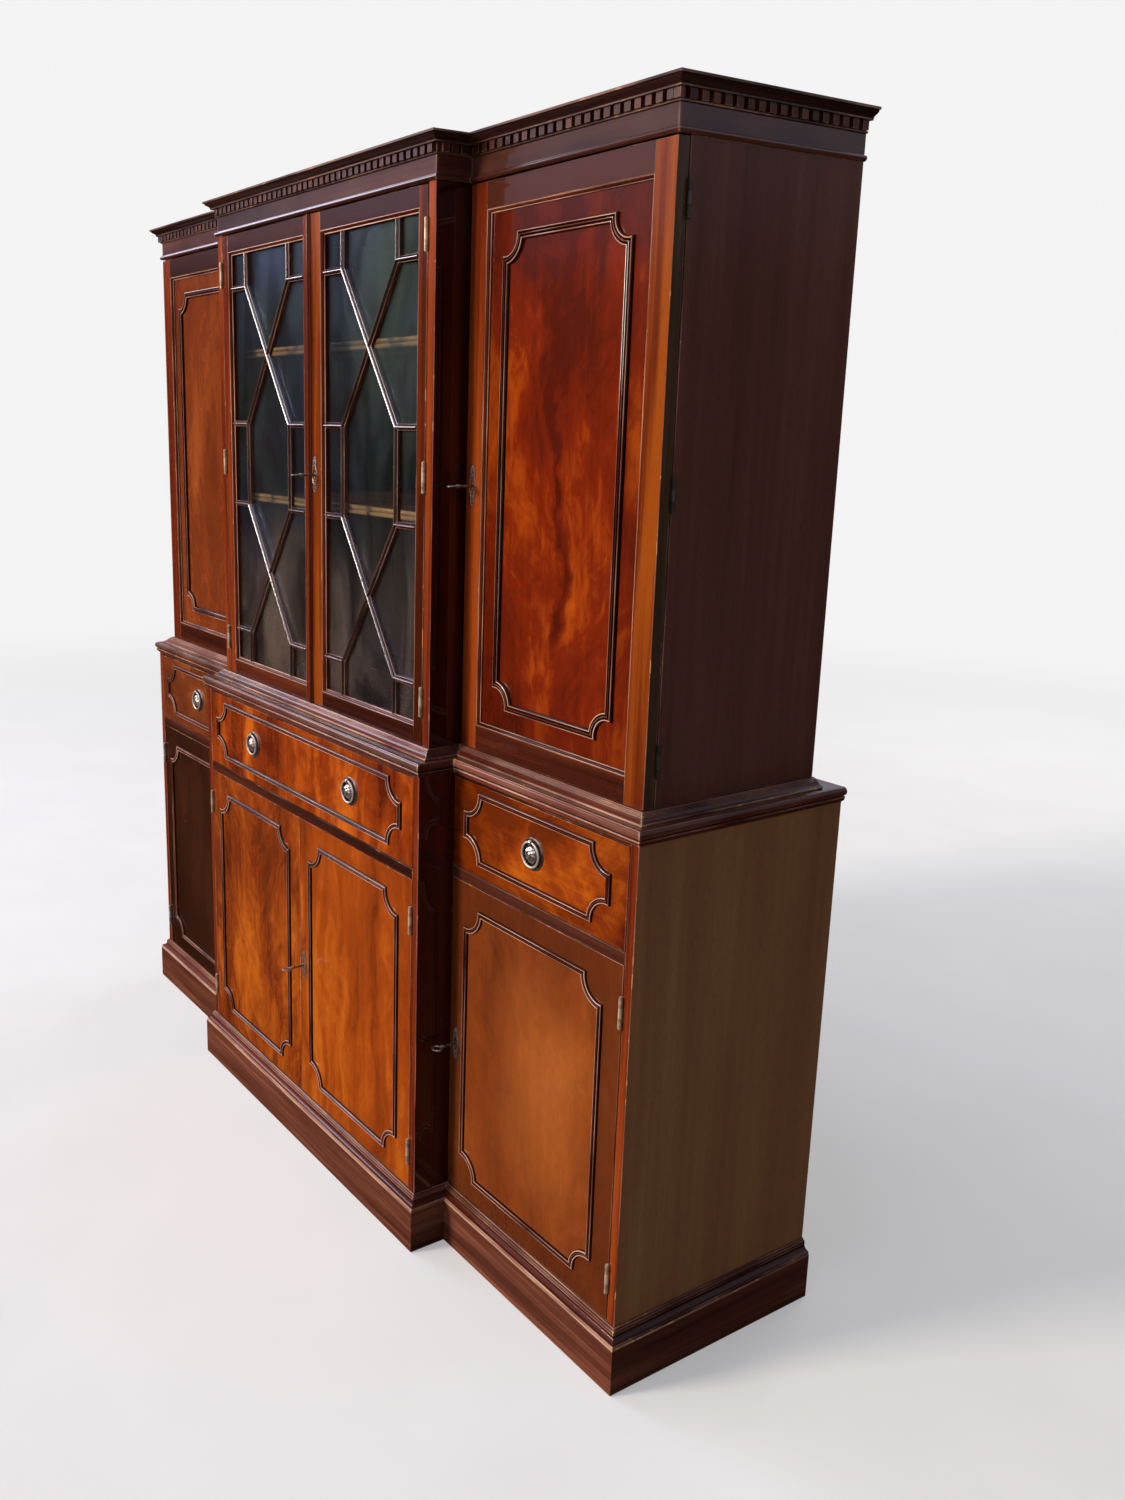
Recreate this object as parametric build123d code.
from build123d import *
import math
import os

os.makedirs("parts", exist_ok=True)

# ---------------------------------------------------------------- driving sizes
# Frame: X across the front, -Y towards the user, Z up, floor at Z = 0.
YB = 297.5            # back plane of the lower case

# lower case, breakfront plan
XW = 950.0            # half width of the lower case
XC = 460.0            # half width of the projecting centre
YW = YB - 462.0       # front of the lower wings
YC = YB - 540.0       # front of the lower centre
T = 18.0              # carcass board thickness
Z_PLINTH = 89.0       # height of the plinth
Z_BASE = 114.0        # top of the base moulding
Z_FLOOR0 = 97.0       # underside of the cupboard floor
Z_FLOOR = 115.0       # top of the cupboard floor
Z_RAIL0 = 757.0       # drawer rail
Z_RAIL = 777.0
Z_TOPR = 953.0        # underside of the top rail
Z_TOP0 = 966.0        # underside of the lower case top
Z_TOP = 984.0         # top of the lower case
PL = 18.0             # projection of the plinth

# upper case
XUW = 920.0
XUC = 432.0
YUB = YB - 43.0
YUW = YB - 430.0      # face of the upper wing doors
YUC = YB - 501.0      # face of the upper centre
TU = 20.0             # outer sides
TP = 22.0             # partitions
Z_UF = 1000.0         # top of the upper floor board
Z_UT = 1976.0         # underside of the frieze
Z_FR = 2016.0         # top of the visible frieze
Z_DT = 2033.0         # top of the dentil course
Z_H = 2050.0          # overall height

# doors
DT = 22.0             # upper door thickness
LT = 20.0             # lower door and drawer front thickness
GAPH = 2.4            # gap on the hinge side
GAP = 1.6             # other gaps
OVER = 2.4            # gap behind the overlay doors
STILE = 44.0

# brassware
KEY_OUT = 55.0        # how far a key stands out of the face
RING_R = 22.0         # ring pull, radius of its centre line
RING_T = 1.9          # ring pull, radius of its wire
HINGE_H = 54.0


# ---------------------------------------------------------------- helpers
def B(x0, x1, y0, y1, z0, z1):
    return Pos((x0 + x1) / 2, (y0 + y1) / 2, (z0 + z1) / 2) * Box(abs(x1 - x0), abs(y1 - y0), abs(z1 - z0))


def cyl_y(x, y0, y1, z, r):
    return Pos(x, (y0 + y1) / 2, z) * Rot(90, 0, 0) * Cylinder(r, abs(y1 - y0))


def cyl_x(x0, x1, y, z, r):
    return Pos((x0 + x1) / 2, y, z) * Rot(0, 90, 0) * Cylinder(r, abs(x1 - x0))


def cyl_z(x, y, z0, z1, r):
    return Pos(x, y, (z0 + z1) / 2) * Cylinder(r, abs(z1 - z0))


def flat(items):
    out = []
    for s in items:
        if isinstance(s, (list, tuple)):
            out += flat(s)
        else:
            out += list(s.solids())
    return out


def mir(items):
    return [mirror(s, about=Plane.YZ) for s in flat([items])]


def save(name, items):
    sol = flat([items])
    export_step(Compound(children=sol), f"parts/{name}.step")
    print(name, len(sol))


def prism(pts, z0, z1):
    w = Polyline(*[(p[0], p[1], z0) for p in pts], close=True)
    return extrude(make_face(w), amount=z1 - z0, dir=(0, 0, 1))


def runs(path, prof, z0, z1, dmax):
    """One mitred length of moulding for each leg of the plan path.
    prof is a closed list of (out, z) points; out is measured to the left hand
    side of the path, which is the outside of the case."""
    n = len(path)
    legs = []
    dirs = []
    for i in range(n - 1):
        dx, dy = path[i + 1][0] - path[i][0], path[i + 1][1] - path[i][1]
        L = math.hypot(dx, dy)
        dirs.append((dx / L, dy / L))
    nor = [(d[1], -d[0]) for d in dirs]

    def off(i, o):
        p = path[i]
        if i == 0:
            return (p[0] + nor[0][0] * o, p[1] + nor[0][1] * o)
        if i == n - 1:
            return (p[0] + nor[-1][0] * o, p[1] + nor[-1][1] * o)
        return (p[0] + (nor[i - 1][0] + nor[i][0]) * o, p[1] + (nor[i - 1][1] + nor[i][1]) * o)

    for i in range(n - 1):
        a, b = path[i], path[i + 1]
        d, m = dirs[i], nor[i]
        L = math.hypot(b[0] - a[0], b[1] - a[1])
        E = dmax + 5
        pts = [(a[0] - d[0] * E + m[0] * o, a[1] - d[1] * E + m[1] * o, z) for o, z in prof]
        f = make_face(Polyline(*pts, close=True))
        body = extrude(f, amount=L + 2 * E, dir=(d[0], d[1], 0))
        pr = prism([off(i, 0), off(i + 1, 0), off(i + 1, dmax), off(i, dmax)], z0 - 1, z1 + 1)
        legs.append(body & pr)
    return legs


def arc_pts(cx, cz, r, a0, a1, n=6):
    return [(cx + r * math.cos(math.radians(a0 + (a1 - a0) * k / n)),
             cz + r * math.sin(math.radians(a0 + (a1 - a0) * k / n))) for k in range(n + 1)]


LOWER = [(-XW, YB), (-XW, YW), (-XC, YW), (-XC, YC), (XC, YC), (XC, YW), (XW, YW), (XW, YB)]
UPPER = [(-XUW, YUB), (-XUW, YUW), (-XUC, YUW), (-XUC, YUC), (XUC, YUC), (XUC, YUW), (XUW, YUW), (XUW, YUB)]


def corner_moulding(cx, cz, hw, hh, r, w, yf, dep):
    """Applied moulding on a flat front: four straight lengths and four concave
    quarter rounds, each a separate piece, w wide and dep thick, on the plane yf."""
    o = w / 2
    out = []
    sq = math.sqrt((r + o) ** 2 - o * o)      # where the inner edge of the round meets the inner line
    so = math.sqrt((r - o) ** 2 - o * o)      # where the outer edge of the round meets the outer line
    # straight lengths, ends cut on the line between those two meeting points
    for s in (1, -1):
        pts = [(cx - hw + so, cz + s * (hh + o)), (cx + hw - so, cz + s * (hh + o)),
               (cx + hw - sq, cz + s * (hh - o)), (cx - hw + sq, cz + s * (hh - o))]
        out.append(plate(pts, yf, dep))
        pts = [(cx + s * (hw + o), cz - hh + so), (cx + s * (hw + o), cz + hh - so),
               (cx + s * (hw - o), cz + hh - sq), (cx + s * (hw - o), cz - hh + sq)]
        out.append(plate(pts, yf, dep))
    for sx in (1, -1):
        for sz in (1, -1):
            ex, ez = cx + sx * hw, cz + sz * hh
            e_o = math.asin(o / (r - o))
            e_i = math.asin(o / (r + o))
            outer = []
            inner = []
            n = 8
            for k in range(n + 1):
                # local angle measured from the horizontal line towards the vertical line
                a = -e_o + (math.pi / 2 + 2 * e_o) * k / n
                outer.append((ex - sx * (r - o) * math.cos(a), ez - sz * (r - o) * math.sin(a)))
                a = e_i + (math.pi / 2 - 2 * e_i) * k / n
                inner.append((ex - sx * (r + o) * math.cos(a), ez - sz * (r + o) * math.sin(a)))
            out.append(plate(outer + inner[::-1], yf, dep))
    return out


def plate(pts, yf, dep):
    """Flat plate in the XZ plane, its back on y = yf, dep thick towards the user."""
    w = Polyline(*[(p[0], yf, p[1]) for p in pts], close=True)
    return extrude(make_face(w), amount=dep, dir=(0, -1, 0))


# ---------------------------------------------------------------- plinth and base moulding
PI = 10.0
plinth = [
    B(-XC - PL, XC + PL, YC - PL, YC + PI, 0, Z_PLINTH),
    B(-(XC - PI), XC - PI, YB - 22, YB, 0, Z_PLINTH),
]
for s in (1, -1):
    def q(x0, x1, y0, y1, z0=0, z1=Z_PLINTH):
        return B(min(s * x0, s * x1), max(s * x0, s * x1), y0, y1, z0, z1)
    plinth += [
        q(XC - PI, XC + PL, YC + PI, YW - PL),
        q(XC - PI, XC + PL, YW - PL, YB),
        q(XC + PL, XW + PL, YW - PL, YW + PI),
        q(XW - PI, XW + PL, YW + PI, YB),
        q(XC + PL, XW - PI, YB - 22, YB),
        # glue blocks
        q(XW - PI - 40, XW - PI, YW + PI, YW + PI + 40, 0, 80),
        q(XC - PI - 40, XC - PI, YC + PI, YC + PI + 40, 0, 80),
    ]
save("plinth", plinth)

base_prof = [(0, 89), (16.5, 89), (16.5, 94)] + arc_pts(16.5, 105, 11, 270, 180, 6)[1:] + \
            [(5.5, 108)] + arc_pts(2.5, 109, 3.2, 0, 90, 3)[1:] + [(2.5, 114), (0, 114)]
save("base_moulding", runs(LOWER, base_prof, 89, 114, 17))

# ---------------------------------------------------------------- lower case
ZS_L = 449.0          # cupboard shelf, middle height


def peg_holes(solid, pegs):
    for p in pegs:
        solid = solid - p
    return solid


def pegs_for(x_face, sgn, ys, z_under):
    """Shelf pegs: 9 mm in the board, 11 mm out of it; sgn points into the bay."""
    return [cyl_x(min(x_face - sgn * 9, x_face + sgn * 11), max(x_face - sgn * 9, x_face + sgn * 11), y, z_under - 3, 3)
            for y in ys]


low_pegs = []
for s in (1, -1):
    low_pegs += pegs_for(s * (XW - T), -s, (YW + 110, YB - 60), ZS_L - 9)
    low_pegs += pegs_for(s * XC, s, (YW + 110, YB - 60), ZS_L - 9)
    low_pegs += pegs_for(s * (XC - T), -s, (YC + 110, YB - 90), ZS_L - 9)

lower_uprights = []
for s in (1, -1):
    side = B(*sorted((s * (XW - T), s * XW)), YW, YB, Z_PLINTH, Z_TOP0)
    part = B(*sorted((s * (XC - T), s * XC)), YC, YB, Z_PLINTH, Z_TOP0)
    lower_uprights += [peg_holes(side, [p for p in low_pegs if abs(p.center().X - s * XW) < 40]),
                       peg_holes(part, [p for p in low_pegs if abs(p.center().X - s * XC) < 40])]
save("lower_uprights", lower_uprights)

bays_l = [(-XW + T, -XC, YW), (-XC + T, XC - T, YC), (XC, XW - T, YW)]
save("lower_floor", [B(a, b, y, YB - 8, Z_FLOOR0, Z_FLOOR) for a, b, y in bays_l])
save("lower_back", [B(a, b, YB - 8, YB, Z_FLOOR0, Z_TOP0) for a, b, y in bays_l])
rails = []
runners = []
for a, b, y in bays_l:
    rails += [B(a, b, y, y + 60, Z_RAIL0, Z_RAIL), B(a, b, y, y + 60, Z_TOPR, Z_TOP0)]
    for x0, x1 in ((a, a + 30), (b - 30, b)):
        runners += [B(x0, x1, y + 60, YB - 8, Z_RAIL0, Z_RAIL), B(x0, x1, y + 60, YB - 8, Z_TOPR, Z_TOP0)]
save("drawer_rails", rails + runners)
shelves = [B(a + 1, b - 1, y + 50, YB - 10, ZS_L - 9, ZS_L + 9) for a, b, y in bays_l]
save("lower_top", [B(-XC, XC, YC, YB, Z_TOP0, Z_TOP), B(-XW, -XC, YW, YB, Z_TOP0, Z_TOP), B(XC, XW, YW, YB, Z_TOP0, Z_TOP)])

waist_prof = [(0, 957), (1.2, 957)] + arc_pts(1.2, 964.0, 5.0, 270, 360, 4)[1:] + [(6.2, 968)] + \
             [(6.5, 969)] + arc_pts(2.5, 976.5, 7.5, 270, 450, 10)[1:-1] + [(2.5, 984), (0, 984)]
save("waist_moulding", runs(LOWER, waist_prof, 957, 984, 10.5))

# ---------------------------------------------------------------- upper case
ub_prof = [(0, 984), (23, 984), (23, 987.5)] + arc_pts(23, 1000.5, 13, 270, 205, 5)[1:] + \
          [(6.5, 996.5), (6.5, 998.5)] + [(4.5, 1000), (0, 1000)]
save("upper_base_moulding", runs(UPPER, ub_prof, 984, 1000, 24))

SH = (1727.0, 1409.0)      # shelf middles
up_pegs = []
for s in (1, -1):
    for z in SH:
        up_pegs += pegs_for(s * (XUW - TU), -s, (YUW + 90, YUB - 60), z - 9)
        up_pegs += pegs_for(s * XUC, s, (YUW + 90, YUB - 60), z - 9)
        up_pegs += pegs_for(s * (XUC - TP), -s, (YUC + 110, YUB - 90), z - 9)
upper_uprights = []
for s in (1, -1):
    side = B(*sorted((s * (XUW - TU), s * XUW)), YUW + DT + OVER, YUB, Z_UF, Z_UT)
    part = B(*sorted((s * (XUC - TP), s * XUC)), YUC, YUB, Z_UF, Z_UT)
    upper_uprights += [peg_holes(side, [p for p in up_pegs if abs(p.center().X - s * XUW) < 45]),
                       peg_holes(part, [p for p in up_pegs if abs(p.center().X - s * XUC) < 45])]
save("upper_uprights", upper_uprights)
save("shelf_pegs", low_pegs + up_pegs)

bays_u = [(-XUW + TU, -XUC, YUW + DT + OVER), (-XUC + TP, XUC - TP, YUC), (XUC, XUW - TU, YUW + DT + OVER)]
FB = 12.0             # frieze board thickness
upper_boards = [
    B(-XUC, XUC, YUC, YUB, Z_TOP, Z_UF), B(-XUW, -XUC, YUW, YUB, Z_TOP, Z_UF), B(XUC, XUW, YUW, YUB, Z_TOP, Z_UF),
    B(-XUC + FB, XUC - FB, YUC + FB, YUB, Z_UT, Z_UT + 18),
    B(-XUW + FB, -XUC + FB, YUW + FB, YUB, Z_UT, Z_UT + 18), B(XUC - FB, XUW - FB, YUW + FB, YUB, Z_UT, Z_UT + 18),
    B(-XUC, XUC, YUC, YUB, 2044, Z_H), B(-XUW, -XUC, YUW, YUB, 2044, Z_H), B(XUC, XUW, YUW, YUB, 2044, Z_H),
]
save("upper_boards", upper_boards)
save("upper_back", [B(a, b, YUB - 8, YUB, Z_UF, Z_UT) for a, b, y in bays_u])
shelves += [B(a + 1, b - 1, (YUC + 55 if a > -XUC - 1 and b < XUC + 1 else y + 25), YUB - 10, z - 9, z + 9)
            for a, b, y in bays_u for z in SH]
save("shelves", shelves)

# frieze boards with the bead along their lower edge
frieze = [B(-XUC, XUC, YUC, YUC + FB, Z_UT, 2044), B(-XUW + FB, XUW - FB, YUB - 12, YUB, Z_UT + 18, 2044)]
for s in (1, -1):
    frieze += [B(*sorted((s * (XUC - FB), s * XUC)), YUC + FB, YUW + FB, Z_UT, 2044),
               B(*sorted((s * XUC, s * XUW)), YUW, YUW + FB, Z_UT, 2044),
               B(*sorted((s * (XUW - FB), s * XUW)), YUW + FB, YUB, Z_UT, 2044)]
bead_prof = [(0, Z_UT), (1.0, Z_UT)] + arc_pts(1.0, Z_UT + 5, 4.6, 270, 450, 10) + [(0, Z_UT + 10)]
frieze += runs(UPPER, bead_prof, Z_UT, Z_UT + 10, 7)
save("frieze", frieze)

# dentil course
PITCH, DW, DO = 21.4, 13.2, 8.0


def teeth(a, b, n):
    """n teeth between a and b, first and last a half gap from the ends."""
    g = (b - a - n * DW) / n
    return [(a + g / 2 + i * (DW + g), a + g / 2 + i * (DW + g) + DW) for i in range(n)]


dent = []
ZD0, ZD1 = 2019.0, Z_DT
for a, b in teeth(-XUC - DO + 8, XUC + DO - 8, 40):
    dent.append(B(a, b, YUC - DO, YUC, ZD0, ZD1))
for s in (1, -1):
    for a, b in teeth(XUC + 12, XUW - 2, 22):
        dent.append(B(*sorted((s * a, s * b)), YUW - DO, YUW, ZD0, ZD1))
    dent.append(B(*sorted((s * (XUW + DO - DW), s * (XUW + DO))), YUW - DO, YUW, ZD0, ZD1))
    for a, b in teeth(YUW + 6, YUB, 17):
        dent.append(B(*sorted((s * XUW, s * (XUW + DO))), a, b, ZD0, ZD1))
    for a, b in teeth(YUC + 4, YUW - DO - 3, 3):
        dent.append(B(*sorted((s * XUC, s * (XUC + DO))), a, b, ZD0, ZD1))
save("dentils", dent)

corn_prof = [(0, 2033), (11.5, 2033), (11.5, 2036)] + \
            [(12.0, 2036.6), (13.0, 2038.2), (15.0, 2039.8), (17.6, 2041.0), (19.8, 2042.6), (20.8, 2044.6), (21.0, 2046.0)] + \
            [(24.0, 2046.0), (24.0, 2050), (0, 2050)]
bed_prof = [(0, 2016), (3.5, 2016), (3.5, 2019), (0, 2019)]
save("cornice", runs(UPPER, corn_prof, 2033, 2050, 25) + runs(UPPER, bed_prof, 2016, 2019, 4))

# ---------------------------------------------------------------- hinges
PIN_R = 1.5
BAR_R = 3.4


def butt(xd, xf, yf, zc, h=HINGE_H):
    """Butt hinge in the side gap of an inset door. xd is the door edge, xf the case
    face across the gap, yf the front face; the barrel stands proud of the front."""
    xh, yh = (xd + xf) / 2, yf - 3.8
    z = [zc - h / 2, zc - h / 6 - 0.3, zc - h / 6, zc + h / 6, zc + h / 6 + 0.3, zc + h / 2]
    sg = 1 if xf > xd else -1
    ld = sorted((xd, xd + sg * 1.0))
    lf = sorted((xf, xf - sg * 1.0))
    door = B(*ld, yf, yf + 15, z[0], z[5]) + B(*ld, yh, yf, z[2], z[3]) + cyl_z(xh, yh, z[2], z[3], BAR_R)
    door = door + cyl_z(xh, yh, z[0] - 1.5, z[5] + 1.5, PIN_R)
    frame = B(*lf, yf, yf + 15, z[0], z[5])
    for a, b in ((z[0], z[1]), (z[4], z[5])):
        frame = frame + B(*lf, yh, yf, a, b) + cyl_z(xh, yh, a, b, BAR_R)
    frame = frame - cyl_z(xh, yh, z[0] - 3, z[5] + 3, PIN_R + 0.06)
    return door, frame, (xh, yh)


def butt_over(sg, yd, yf, xo, zc, h=HINGE_H):
    """Butt hinge behind an overlay door. yd is the back of the door, yf the front
    edge of the case side, xo the outer side face; the barrel stands proud of it."""
    xh, yh = xo + sg * 3.8, (yd + yf) / 2
    z = [zc - h / 2, zc - h / 6 - 0.3, zc - h / 6, zc + h / 6, zc + h / 6 + 0.3, zc + h / 2]
    xin = xo - sg * 15
    door = B(*sorted((xin, xo)), yd, yd + 1.0, z[0], z[5]) + B(*sorted((xo, xh)), yd, yd + 1.0, z[2], z[3]) \
        + cyl_z(xh, yh, z[2], z[3], BAR_R) + cyl_z(xh, yh, z[0] - 1.5, z[5] + 1.5, PIN_R)
    frame = B(*sorted((xin, xo)), yf - 1.0, yf, z[0], z[5])
    for a, b in ((z[0], z[1]), (z[4], z[5])):
        frame = frame + B(*sorted((xo, xh)), yf - 1.0, yf, a, b) + cyl_z(xh, yh, a, b, BAR_R)
    frame = frame - cyl_z(xh, yh, z[0] - 3, z[5] + 3, PIN_R + 0.06)
    return door, frame, (xh, yh)


frame_leaves = []


# ---------------------------------------------------------------- locks and keys
def escutcheon(x, yf, z, w=21.0, h=74.0):
    """Tall pierced brass escutcheon, 1.2 mm thick, with the key hole."""
    pts = []
    n = 64
    for k in range(n):
        a = 2 * math.pi * k / n
        rx = w / 2 * (0.80 + 0.20 * math.cos(4 * a))
        pts.append((x + rx * math.cos(a), z + h / 2 * math.sin(a) * (0.93 + 0.07 * abs(math.sin(a)) ** 6)))
    p = plate(pts, yf, 1.2)
    for dz in (19.0, -19.0):
        p = p - cyl_y(x, yf - 3, yf + 3, z + dz, 3.0)
    p = p - cyl_y(x, yf - 3, yf + 3, z, 2.9)
    return p


def lock_case(x, yf, z, thick, sx=1):
    """Let-in cupboard lock: hollow brass case in a pocket in the back of the stile."""
    y1 = yf + thick
    y0 = y1 - 13
    case = B(x - 12, x + 12, y0, y1, z - 15, z + 15) - B(x - 10.5, x + 10.5, y0 + 1.5, y1 - 1.5, z - 13.5, z + 13.5)
    case = case - cyl_y(x, y0 - 2, y0 + 3, z, 2.9)
    pocket = B(x - 12, x + 12, y0, y1, z - 15, z + 15)
    bore = cyl_y(x, yf - 1, y0 + 1, z, 3.2)
    return case, pocket, bore


def key(x, yf, z, thick):
    """Key in its lock: shank on the Y axis, bow lying flat, bit inside the
    case and in the plane of the bow."""
    y_tip = yf - KEY_OUT
    y_in = yf + thick - 4.0
    shank = cyl_y(x, y_tip + 17.5, y_in, z, 2.4)
    collar = cyl_y(x, y_tip + 20, y_tip + 24, z, 3.6)
    bow = Pos(x, y_tip + 10.5, z) * extrude(Ellipse(11.5, 10.5), amount=1.6, both=True)
    hole = Pos(x, y_tip + 10.0, z) * extrude(Ellipse(7.2, 6.2), amount=5, both=True)
    bit = B(x, x + 9.5, y_in - 5.0, y_in, z - 1.2, z + 1.2)
    return (bow - hole) + shank + collar + bit


# ---------------------------------------------------------------- upper wing doors
zu0, zu1 = Z_UF + 1.0, Z_UT - 2.5
xd0, xd1 = XUC + 2.4, XUW             # right hand door
ZK_U = 1474.0
XK_U = xd0 + 21.0
case_s, pocket, bore = lock_case(XK_U, YUW, ZK_U, DT)
stile_l = B(xd0, xd0 + STILE, YUW, YUW + DT, zu0, zu1) - pocket - bore
stile_r = B(xd1 - STILE, xd1, YUW, YUW + DT, zu0, zu1)
rail_t = B(xd0 + STILE, xd1 - STILE, YUW, YUW + DT, zu1 - STILE, zu1)
rail_b = B(xd0 + STILE, xd1 - STILE, YUW, YUW + DT, zu0, zu0 + STILE)
px0, px1, pz0, pz1 = xd0 + STILE, xd1 - STILE, zu0 + STILE, zu1 - STILE
pcx, pcz = (px0 + px1) / 2, (pz0 + pz1) / 2
# stepped moulding round the inside of the frame
stick = [B(px0, px0 + 7, YUW + 3.5, YUW + 8.5, pz0, pz1), B(px1 - 7, px1, YUW + 3.5, YUW + 8.5, pz0, pz1),
         B(px0 + 7, px1 - 7, YUW + 3.5, YUW + 8.5, pz1 - 7, pz1), B(px0 + 7, px1 - 7, YUW + 3.5, YUW + 8.5, pz0, pz0 + 7)]
panel = B(px0, px1, YUW + 8.5, YUW + 16.5, pz0, pz1)
MW_U = 15.0
mould_u = corner_moulding(pcx, pcz, 149.0, 394.0, 37.0, MW_U, YUW + 8.5, 7.0)
dl, fl = [], []
for z in (1892.5, 1483.0, 1076.5):
    a, b, ax_uw = butt_over(1, YUW + DT, YUW + DT + OVER, XUW, z)
    dl.append(a)
    fl.append(b)
frame_leaves += fl + mir(fl)
wing_frame = [stile_l, stile_r, rail_t, rail_b] + stick
wing_panel = [panel] + mould_u
wing_brass = dl + [escutcheon(XK_U, YUW, ZK_U), case_s]
wing_key = [key(XK_U, YUW, ZK_U, DT)]
for side, f in (("right", lambda s: s), ("left", mir)):
    save(f"upper_{side}_door_frame", f(wing_frame))
    save(f"upper_{side}_door_panel", f(wing_panel))
    save(f"upper_{side}_door_brass", f(wing_brass))
    save(f"upper_{side}_door_key", f(wing_key))

# ---------------------------------------------------------------- glazed doors
OPW = 331.0                           # width of each glazed opening
gx0, gx1 = 42.0, 373.0                # right opening, mirrored on the left
gz0, gz1 = 1040.0, 1931.0
GY = YUC + 13.0                       # back of the glazing bars, front of the glass


def glazed_frame(x0, x1, xa, xb):
    """Stiles and rails; x0..x1 is the door, xa..xb its opening; glass rebate at the back."""
    sl = B(x0, xa, YUC, YUC + DT, zu0, zu1) - B(xa - 6, xa, GY, YUC + DT, gz0 - 6, gz1 + 6)
    sr = B(xb, x1, YUC, YUC + DT, zu0, zu1) - B(xb, xb + 6, GY, YUC + DT, gz0 - 6, gz1 + 6)
    rt = B(xa, xb, YUC, YUC + DT, gz1, zu1) - B(xa, xb, GY, YUC + DT, gz1, gz1 + 6)
    rb = B(xa, xb, YUC, YUC + DT, zu0, gz0) - B(xa, xb, GY, YUC + DT, gz0 - 6, gz0)
    return sl, sr, rt, rb


def bar(p, q_, w=12.0):
    (x0, z0), (x1, z1) = p, q_
    L = math.hypot(x1 - x0, z1 - z0)
    nx, nz = -(z1 - z0) / L * w / 2, (x1 - x0) / L * w / 2
    pts = [(x0 + nx, z0 + nz), (x1 + nx, z1 + nz), (x1 - nx, z1 - nz), (x0 - nx, z0 - nz)]
    return plate(pts, GY, GY - (YUC + 1.0))


def glazing(xa, xb):
    e = 69.0
    u0, u1 = xa + e, xb - e
    zm = (gz0 + gz1) / 2
    zA, zB, zC, zD = zm + 376, zm + 88, zm - 88, zm - 376
    segs = [((u0, zA), (u0, gz1)), ((u1, zA), (u1, gz1)), ((u0, zD), (u0, gz0)), ((u1, zD), (u1, gz0)),
            ((u0, zB), (u0, zC)), ((u1, zB), (u1, zC)),
            ((u0, zA), (u1, zB)), ((u1, zA), (u0, zB)), ((u0, zD), (u1, zC)), ((u1, zD), (u0, zC))]
    for z in (zA, zB, zC, zD):
        segs += [((xa, z), (u0, z)), ((u1, z), (xb, z))]
    body = None
    for p, q_ in segs:
        s = bar(p, q_)
        body = s if body is None else body + s
    for x in (u0, u1):
        for z in (zA, zB, zC, zD):
            body = body + B(x - 6, x + 6, YUC + 1.0, GY, z - 6, z + 6)
    keep = B(xa, xb, YUC + 1.0, GY, gz0, gz1)
    return body & keep


# right hand glazed door, with the bead that closes the meeting joint
XM0, XG = -17.0, XUC - TP - GAPH
ZK_G = 1476.0
XK_G = 9.0
case_g, pocket_g, bore_g = lock_case(XK_G, YUC, ZK_G, DT)
sl, sr, rt, rb = glazed_frame(XM0, XG, gx0, gx1)
sl = sl - pocket_g - bore_g
astragal = B(XM0, XM0 + 13.0, YUC - 2.0, YUC, zu0, zu1) + (Pos(XM0 + 6.5, YUC - 2.0, (zu0 + zu1) / 2) * Cylinder(4.6, zu1 - zu0))
astragal = astragal & B(XM0, XM0 + 13, YUC - 8, YUC, zu0, zu1)
save("glazed_right_door_frame", [sl, sr, rt, rb, astragal])
save("glazed_right_door_bars", [glazing(gx0, gx1)])
save("glazed_right_door_glass", [B(gx0 - 6, gx1 + 6, GY, GY + 3, gz0 - 6, gz1 + 6)])
dr, dlf, fr = [], [], []
for z in (1892.5, 1487.5, 1083.0):
    a, b, ax_g = butt(XG, XUC - TP, YUC, z)
    dr.append(a)
    fr.append(b)
frame_leaves += fr + mir(fr)
save("glazed_right_door_brass", dr + [escutcheon(XK_G, YUC, ZK_G), case_g])
save("glazed_right_door_key", [key(XK_G, YUC, ZK_G, DT)])
sl, sr, rt, rb = glazed_frame(-XG, XM0 - GAP, -gx1, -gx0)
save("glazed_left_door_frame", [sl, sr, rt, rb])
save("glazed_left_door_bars", [glazing(-gx1, -gx0)])
save("glazed_left_door_glass", [B(-gx1 - 6, -gx0 + 6, GY, GY + 3, gz0 - 6, gz1 + 6)])
save("glazed_left_door_brass", mir(dr))

# ---------------------------------------------------------------- lower doors
zl0, zl1 = Z_FLOOR + GAP, Z_RAIL0 - GAP
lcz = (zl0 + zl1) / 2
MW_L = 11.0
MD_L = 5.5
ZK_L = 424.0


def lower_door(x0, x1, yf, lock_x=None):
    """Slab with its applied moulding; the lock pocket is let in from the back."""
    slab = B(x0, x1, yf, yf + LT, zl0, zl1)
    case = None
    if lock_x is not None:
        case, pk, bo = lock_case(lock_x, yf, ZK_L, LT)
        slab = slab - pk - bo
    cx, hw = (x0 + x1) / 2, (x1 - x0) / 2 - 48.0
    m = corner_moulding(cx, lcz, hw, (zl1 - zl0) / 2 - 47.0, 43.0, MW_L, yf, MD_L)
    return [slab] + m, case


def lower_hinges(xd, xf, yf):
    d, f = [], []
    for z in (676.0, 196.0):
        a, b, ax = butt(xd, xf, yf, z)
        d.append(a)
        f.append(b)
    return d, f, ax


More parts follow.
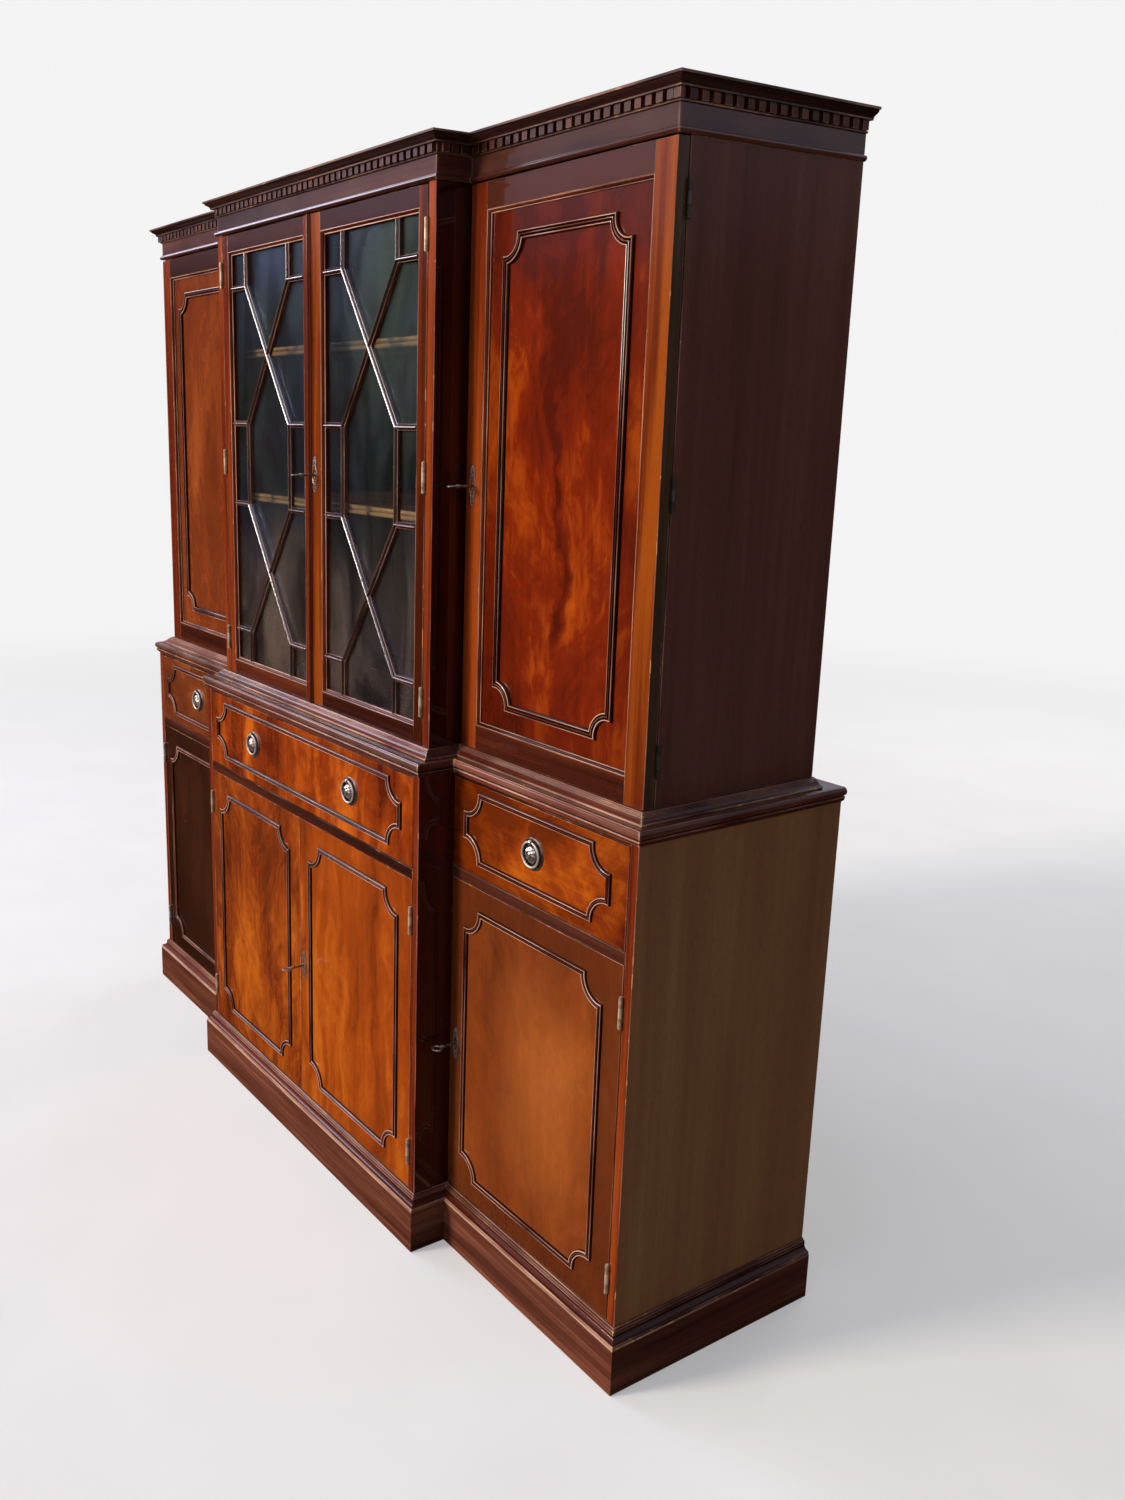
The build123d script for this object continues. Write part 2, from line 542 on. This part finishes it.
# wings: hinged at the outer side, locked beside the centre
wx0, wx1 = XC + GAP, XW - T - GAPH
XK_W = wx0 + 21.0
body_w, case_w = lower_door(wx0, wx1, YW, XK_W)
dw, fw, ax_w = lower_hinges(wx1, XW - T, YW)
frame_leaves += fw + mir(fw)
brass_w = dw + [escutcheon(XK_W, YW, ZK_L, 20.0, 66.0), case_w]
key_w = [key(XK_W, YW, ZK_L, LT)]
save("lower_right_door", body_w)
save("lower_right_door_brass", brass_w)
save("lower_right_door_key", key_w)
save("lower_left_door", mir(body_w))
save("lower_left_door_brass", mir(brass_w))
save("lower_left_door_key", mir(key_w))
# centre pair
cx0, cx1 = 0.8, XC - T - GAPH
XK_C = 19.0
body_r, case_r = lower_door(cx0, cx1, YC, XK_C)
body_l, _ = lower_door(-cx1, -cx0, YC)
dc, fc, ax_c = lower_hinges(cx1, XC - T, YC)
frame_leaves += fc + mir(fc)
save("lower_centre_right_door", body_r)
save("lower_centre_right_door_brass", dc + [escutcheon(XK_C, YC, ZK_L, 20.0, 66.0), case_r])
save("lower_centre_right_door_key", [key(XK_C, YC, ZK_L, LT)])
save("lower_centre_left_door", body_l)
save("lower_centre_left_door_brass", mir(dc))
save("case_hinge_leaves", frame_leaves)


# ---------------------------------------------------------------- ring pulls
def pull_plate(x, yf, z):
    """Round stepped backplate with a domed boss and the eye that holds the ring."""
    prof = [(0, 0), (29.0, 0), (29.0, 1.2), (27.5, 2.6), (25.6, 2.6), (24.6, 1.6), (17.0, 1.6), (15.8, 2.4),
            (14.4, 4.0), (12.6, 7.0), (9.6, 9.2), (5.6, 10.4), (0, 10.8)]
    w = Polyline(*[(x + r, yf - h, z) for r, h in prof], close=True)
    body = revolve(make_face(w), axis=Axis((x, yf, z), (0, 1, 0)), revolution_arc=360)
    zt = z + RING_R
    eye = cyl_x(x - 3.0, x + 3.0, yf - 6.4, zt, 4.4) + B(x - 3.0, x + 3.0, yf - 6.4, yf - 1.0, zt - 3.2, zt + 3.2)
    eye = eye - cyl_x(x - 4, x + 4, yf - 6.4, zt, RING_T + 0.45)
    keep = cyl_y(x, yf - 20, yf, z, 29.0)
    return body + (eye & keep) - cyl_x(x - 4, x + 4, yf - 6.4, zt, RING_T + 0.45)


def pull_ring(x, yf, z):
    return Pos(x, yf - 6.4, z) * Rot(90, 0, 0) * Torus(RING_R, RING_T)


# ---------------------------------------------------------------- side drawers
zd0, zd1 = Z_RAIL + 2.0, Z_TOPR - 2.0
zdc = 869.0
ZR = 869.0
rx0, rx1 = XC + GAP, XW - T - GAP


def front_moulding(x0, x1, yf):
    return corner_moulding((x0 + x1) / 2, zdc, (x1 - x0) / 2 - 42.0, 63.0, 42.0, MW_L, yf, MD_L)


front_r = [B(rx0, rx1, YW, YW + LT, zd0, zd1)] + front_moulding(rx0, rx1, YW)
by0, by1 = YW + LT, YW + LT + 400.0
sx0, sx1 = XC + 2.5, XW - T - 2.5
box_r = [B(sx0, sx0 + 11, by0, by1, Z_RAIL + 0.6, 936), B(sx1 - 11, sx1, by0, by1, Z_RAIL + 0.6, 936),
         B(sx0 + 11, sx1 - 11, by1 - 11, by1, 792, 936),
         B(sx0 + 11, sx1 - 11, by0, by1, 784, 792)]
rc = (rx0 + rx1) / 2
for side, f in (("right", lambda s: s), ("left", mir)):
    save(f"{side}_drawer_front", f(front_r))
    save(f"{side}_drawer_box", f(box_r))
    save(f"{side}_drawer_pull_plate", f([pull_plate(rc, YW, ZR)]))
    save(f"{side}_drawer_ring", f([pull_ring(rc, YW, ZR)]))

# ---------------------------------------------------------------- secretaire drawer
HX = XC - T - GAP                    # half width of the fall front
AY, AZ = YC + 5.0, zd0 + 15.0        # axis of the fall
ZWS = AZ + 15.0                      # writing surface
fall = B(-HX, HX, YC, YC + LT, zd0, zd1)
corner_cut = B(-HX - 1, HX + 1, AY, AY + 16, AZ - 16, AZ) - cyl_x(-HX - 2, HX + 2, AY, AZ, 15.0)
fall = fall - corner_cut
SXO = XC - T - 2.5
qy0, qy1 = YC + LT + 0.5, YC + LT + 450.0
sec_box = [B(-SXO, -SXO + 13, qy0, qy1, Z_RAIL + 0.6, 948), B(SXO - 13, SXO, qy0, qy1, Z_RAIL + 0.6, 948),
           B(-SXO + 13, SXO - 13, qy0, qy1, ZWS - 16, ZWS),
           B(-SXO + 13, SXO - 13, qy1 - 12, qy1, ZWS, 948)]
save("secretaire_drawer_box", sec_box)
save("secretaire_fall_front", [fall] + corner_moulding(0, zdc, HX - 42.0, 63.0, 42.0, MW_L, YC, MD_L))
# pigeonholes: roof board, two ends and six partitions
ph_y0, ph_y1 = YC + 215.0, qy1 - 12
ph_x = SXO - 13
cuts = [-ph_x + 3, -290.0, -165.0, -90.0, 90.0, 165.0, 290.0, ph_x - 3]
pig = [B(-ph_x, ph_x, ph_y0, ph_y1, 936, 943)]
for c in cuts:
    pig.append(B(c - 3, c + 3, ph_y0, ph_y1, ZWS, 936))
save("secretaire_pigeonholes", pig)
# quadrant stays, pull plates and hinge knuckles on the fall
PX = 214.0
stay = []
for s in (1, -1):
    xs = sorted((s * (ph_x - 0.8), s * (ph_x - 3.0)))
    arc_o = [(AY + 112 * math.cos(math.radians(a)), AZ + 112 * math.sin(math.radians(a))) for a in range(10, 83, 6)]
    arc_i = [(AY + 104 * math.cos(math.radians(a)), AZ + 104 * math.sin(math.radians(a))) for a in range(10, 83, 6)]
    tail = [(AY + 15.0, AZ + 112 * math.sin(math.acos(15.0 / 112)))]
    tail_i = [(AY + 15.0, AZ + 104 * math.sin(math.acos(15.0 / 104)))]
    pts = arc_o + tail + tail_i + arc_i[::-1]
    w = Polyline(*[(xs[0], y, z) for y, z in pts], close=True)
    q_stay = extrude(make_face(w), amount=xs[1] - xs[0], dir=(1, 0, 0))
    foot = B(xs[0], xs[1], AY + 15.0, AY + 16.5, AZ + 86, AZ + 128)
    stay.append(q_stay + foot)
save("secretaire_fall_brass", stay + [pull_plate(PX, YC, ZR), pull_plate(-PX, YC, ZR)])
save("secretaire_right_ring", [pull_ring(PX, YC, ZR)])
save("secretaire_left_ring", [pull_ring(-PX, YC, ZR)])

print("axes", "wing", ax_uw, "glazed", ax_g, "lower wing", ax_w, "lower centre", ax_c, "fall", (AY, AZ))
